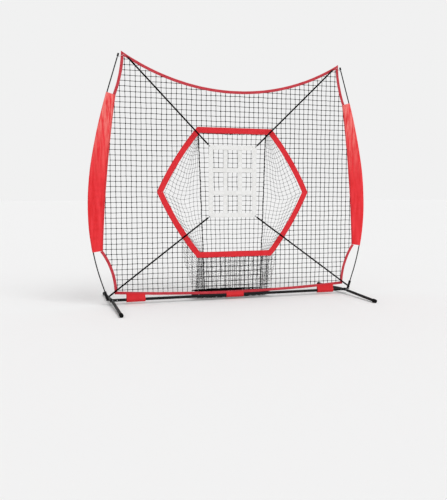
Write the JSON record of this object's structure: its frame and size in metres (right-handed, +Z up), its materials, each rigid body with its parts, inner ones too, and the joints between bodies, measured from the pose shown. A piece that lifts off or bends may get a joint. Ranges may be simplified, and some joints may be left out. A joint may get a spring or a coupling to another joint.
{
  "type": "pitching target net",
  "caption": "Free-standing pitching net on a folding steel base: bowed rods hold a netting face with a hexagonal mouth, a catch pocket and a strike-zone frame on elastic cords.",
  "frame": {"origin": "on the floor, under the middle of the crossbar", "axes": "+X to the right as the pitcher sees it, +Y to the back (the pocket's side), +Z up"},
  "size_m": [2.6122, 1.1542, 2.1533],
  "materials": {
    "coated_steel": "black powder-coated steel tube",
    "zinc_steel": "zinc-plated or sprung steel",
    "rubber_cap": "matte black rubber",
    "fibreglass": "smooth black fibreglass rod",
    "black_plastic": "moulded black plastic",
    "clear_cord": "clear cord",
    "black_wire": "black-coated wire",
    "black_elastic": "braided cover over elastic",
    "netting": "knotless square-mesh netting, see-through",
    "pocket_netting": "fine knotless netting, see-through",
    "red_cloth": "woven red polyester",
    "red_webbing": "red polyester webbing, sewn",
    "white_webbing": "white polyester webbing, sewn"
  },
  "bodies": {
    "frame": {"bar_bolts": "zinc_steel", "bottom_hem": "red_webbing", "centre_bar": "coated_steel", "centre_tab": "red_cloth", "cord_hooks": "black_wire", "left_bracket": "coated_steel", "left_button_clip": "zinc_steel", "left_corner_loop": "clear_cord", "left_insert": "zinc_steel", "left_lower_cord": "black_elastic", "left_lower_hem": "red_webbing", "left_pocket_side": "pocket_netting", "left_rod_lower": "fibreglass", "left_rod_middle": "fibreglass", "left_rod_upper": "fibreglass", "left_side_bar": "coated_steel", "left_sleeve": "red_cloth", "left_tab": "red_cloth", "left_tip_cap": "black_plastic", "left_upper_cord": "black_elastic", "left_upper_hem": "red_webbing", "leg_rivets": "zinc_steel", "main_net": "netting", "mouth_binding": "red_webbing", "pocket_apron": "pocket_netting", "pocket_back": "pocket_netting", "pocket_gather": "pocket_netting", "pocket_roof": "pocket_netting", "right_bracket": "coated_steel", "right_button_clip": "zinc_steel", "right_corner_loop": "clear_cord", "right_insert": "zinc_steel", "right_lower_cord": "black_elastic", "right_lower_hem": "red_webbing", "right_pocket_side": "pocket_netting", "right_rod_lower": "fibreglass", "right_rod_middle": "fibreglass", "right_rod_upper": "fibreglass", "right_side_bar": "coated_steel", "right_sleeve": "red_cloth", "right_tab": "red_cloth", "right_tip_cap": "black_plastic", "right_upper_cord": "black_elastic", "right_upper_hem": "red_webbing", "rod_ferrules": "zinc_steel", "top_hem": "red_webbing"},
    "left_front_leg": {"left_front_leg": "coated_steel", "left_front_leg_cap": "rubber_cap"},
    "left_rear_leg": {"left_rear_leg": "coated_steel", "left_rear_leg_cap": "rubber_cap"},
    "left_snap_button": {"left_snap_button": "zinc_steel"},
    "right_front_leg": {"right_front_leg": "coated_steel", "right_front_leg_cap": "rubber_cap"},
    "right_rear_leg": {"right_rear_leg": "coated_steel", "right_rear_leg_cap": "rubber_cap"},
    "right_snap_button": {"right_snap_button": "zinc_steel"},
    "strike_zone": {"target_outer_bands": "white_webbing", "target_inner_bands": "white_webbing", "target_rings": "black_wire"}
  },
  "joints": [
    {"name": "left_front_leg_fold", "type": "hinge", "parent": "frame", "child": "left_front_leg", "pos_m": [-1.115, -0.036, 0.038], "axis": [0, 0, 1], "range_deg": [0, 90]},
    {"name": "left_rear_leg_fold", "type": "hinge", "parent": "frame", "child": "left_rear_leg", "pos_m": [-1.115, 0.036, 0.038], "axis": [0, 0, 1], "range_deg": [-90, 0]},
    {"name": "right_front_leg_fold", "type": "hinge", "parent": "frame", "child": "right_front_leg", "pos_m": [1.115, -0.036, 0.038], "axis": [0, 0, 1], "range_deg": [-90, 0]},
    {"name": "right_rear_leg_fold", "type": "hinge", "parent": "frame", "child": "right_rear_leg", "pos_m": [1.115, 0.036, 0.038], "axis": [0, 0, 1], "range_deg": [0, 90]},
    {"name": "left_button_press", "type": "slide", "parent": "frame", "child": "left_snap_button", "axis": [0, 0, -1], "range_m": [0, 0.0038], "stiffness_N_per_m": 1500, "deforming": ["left_button_clip"]},
    {"name": "right_button_press", "type": "slide", "parent": "frame", "child": "right_snap_button", "axis": [0, 0, -1], "range_m": [0, 0.0038], "stiffness_N_per_m": 1500, "deforming": ["right_button_clip"]},
    {"name": "strike_zone_give", "type": "slide", "parent": "frame", "child": "strike_zone", "axis": [0, 1, 0], "range_m": [-0.12, 0.035], "stiffness_N_per_m": 36}
  ]
}
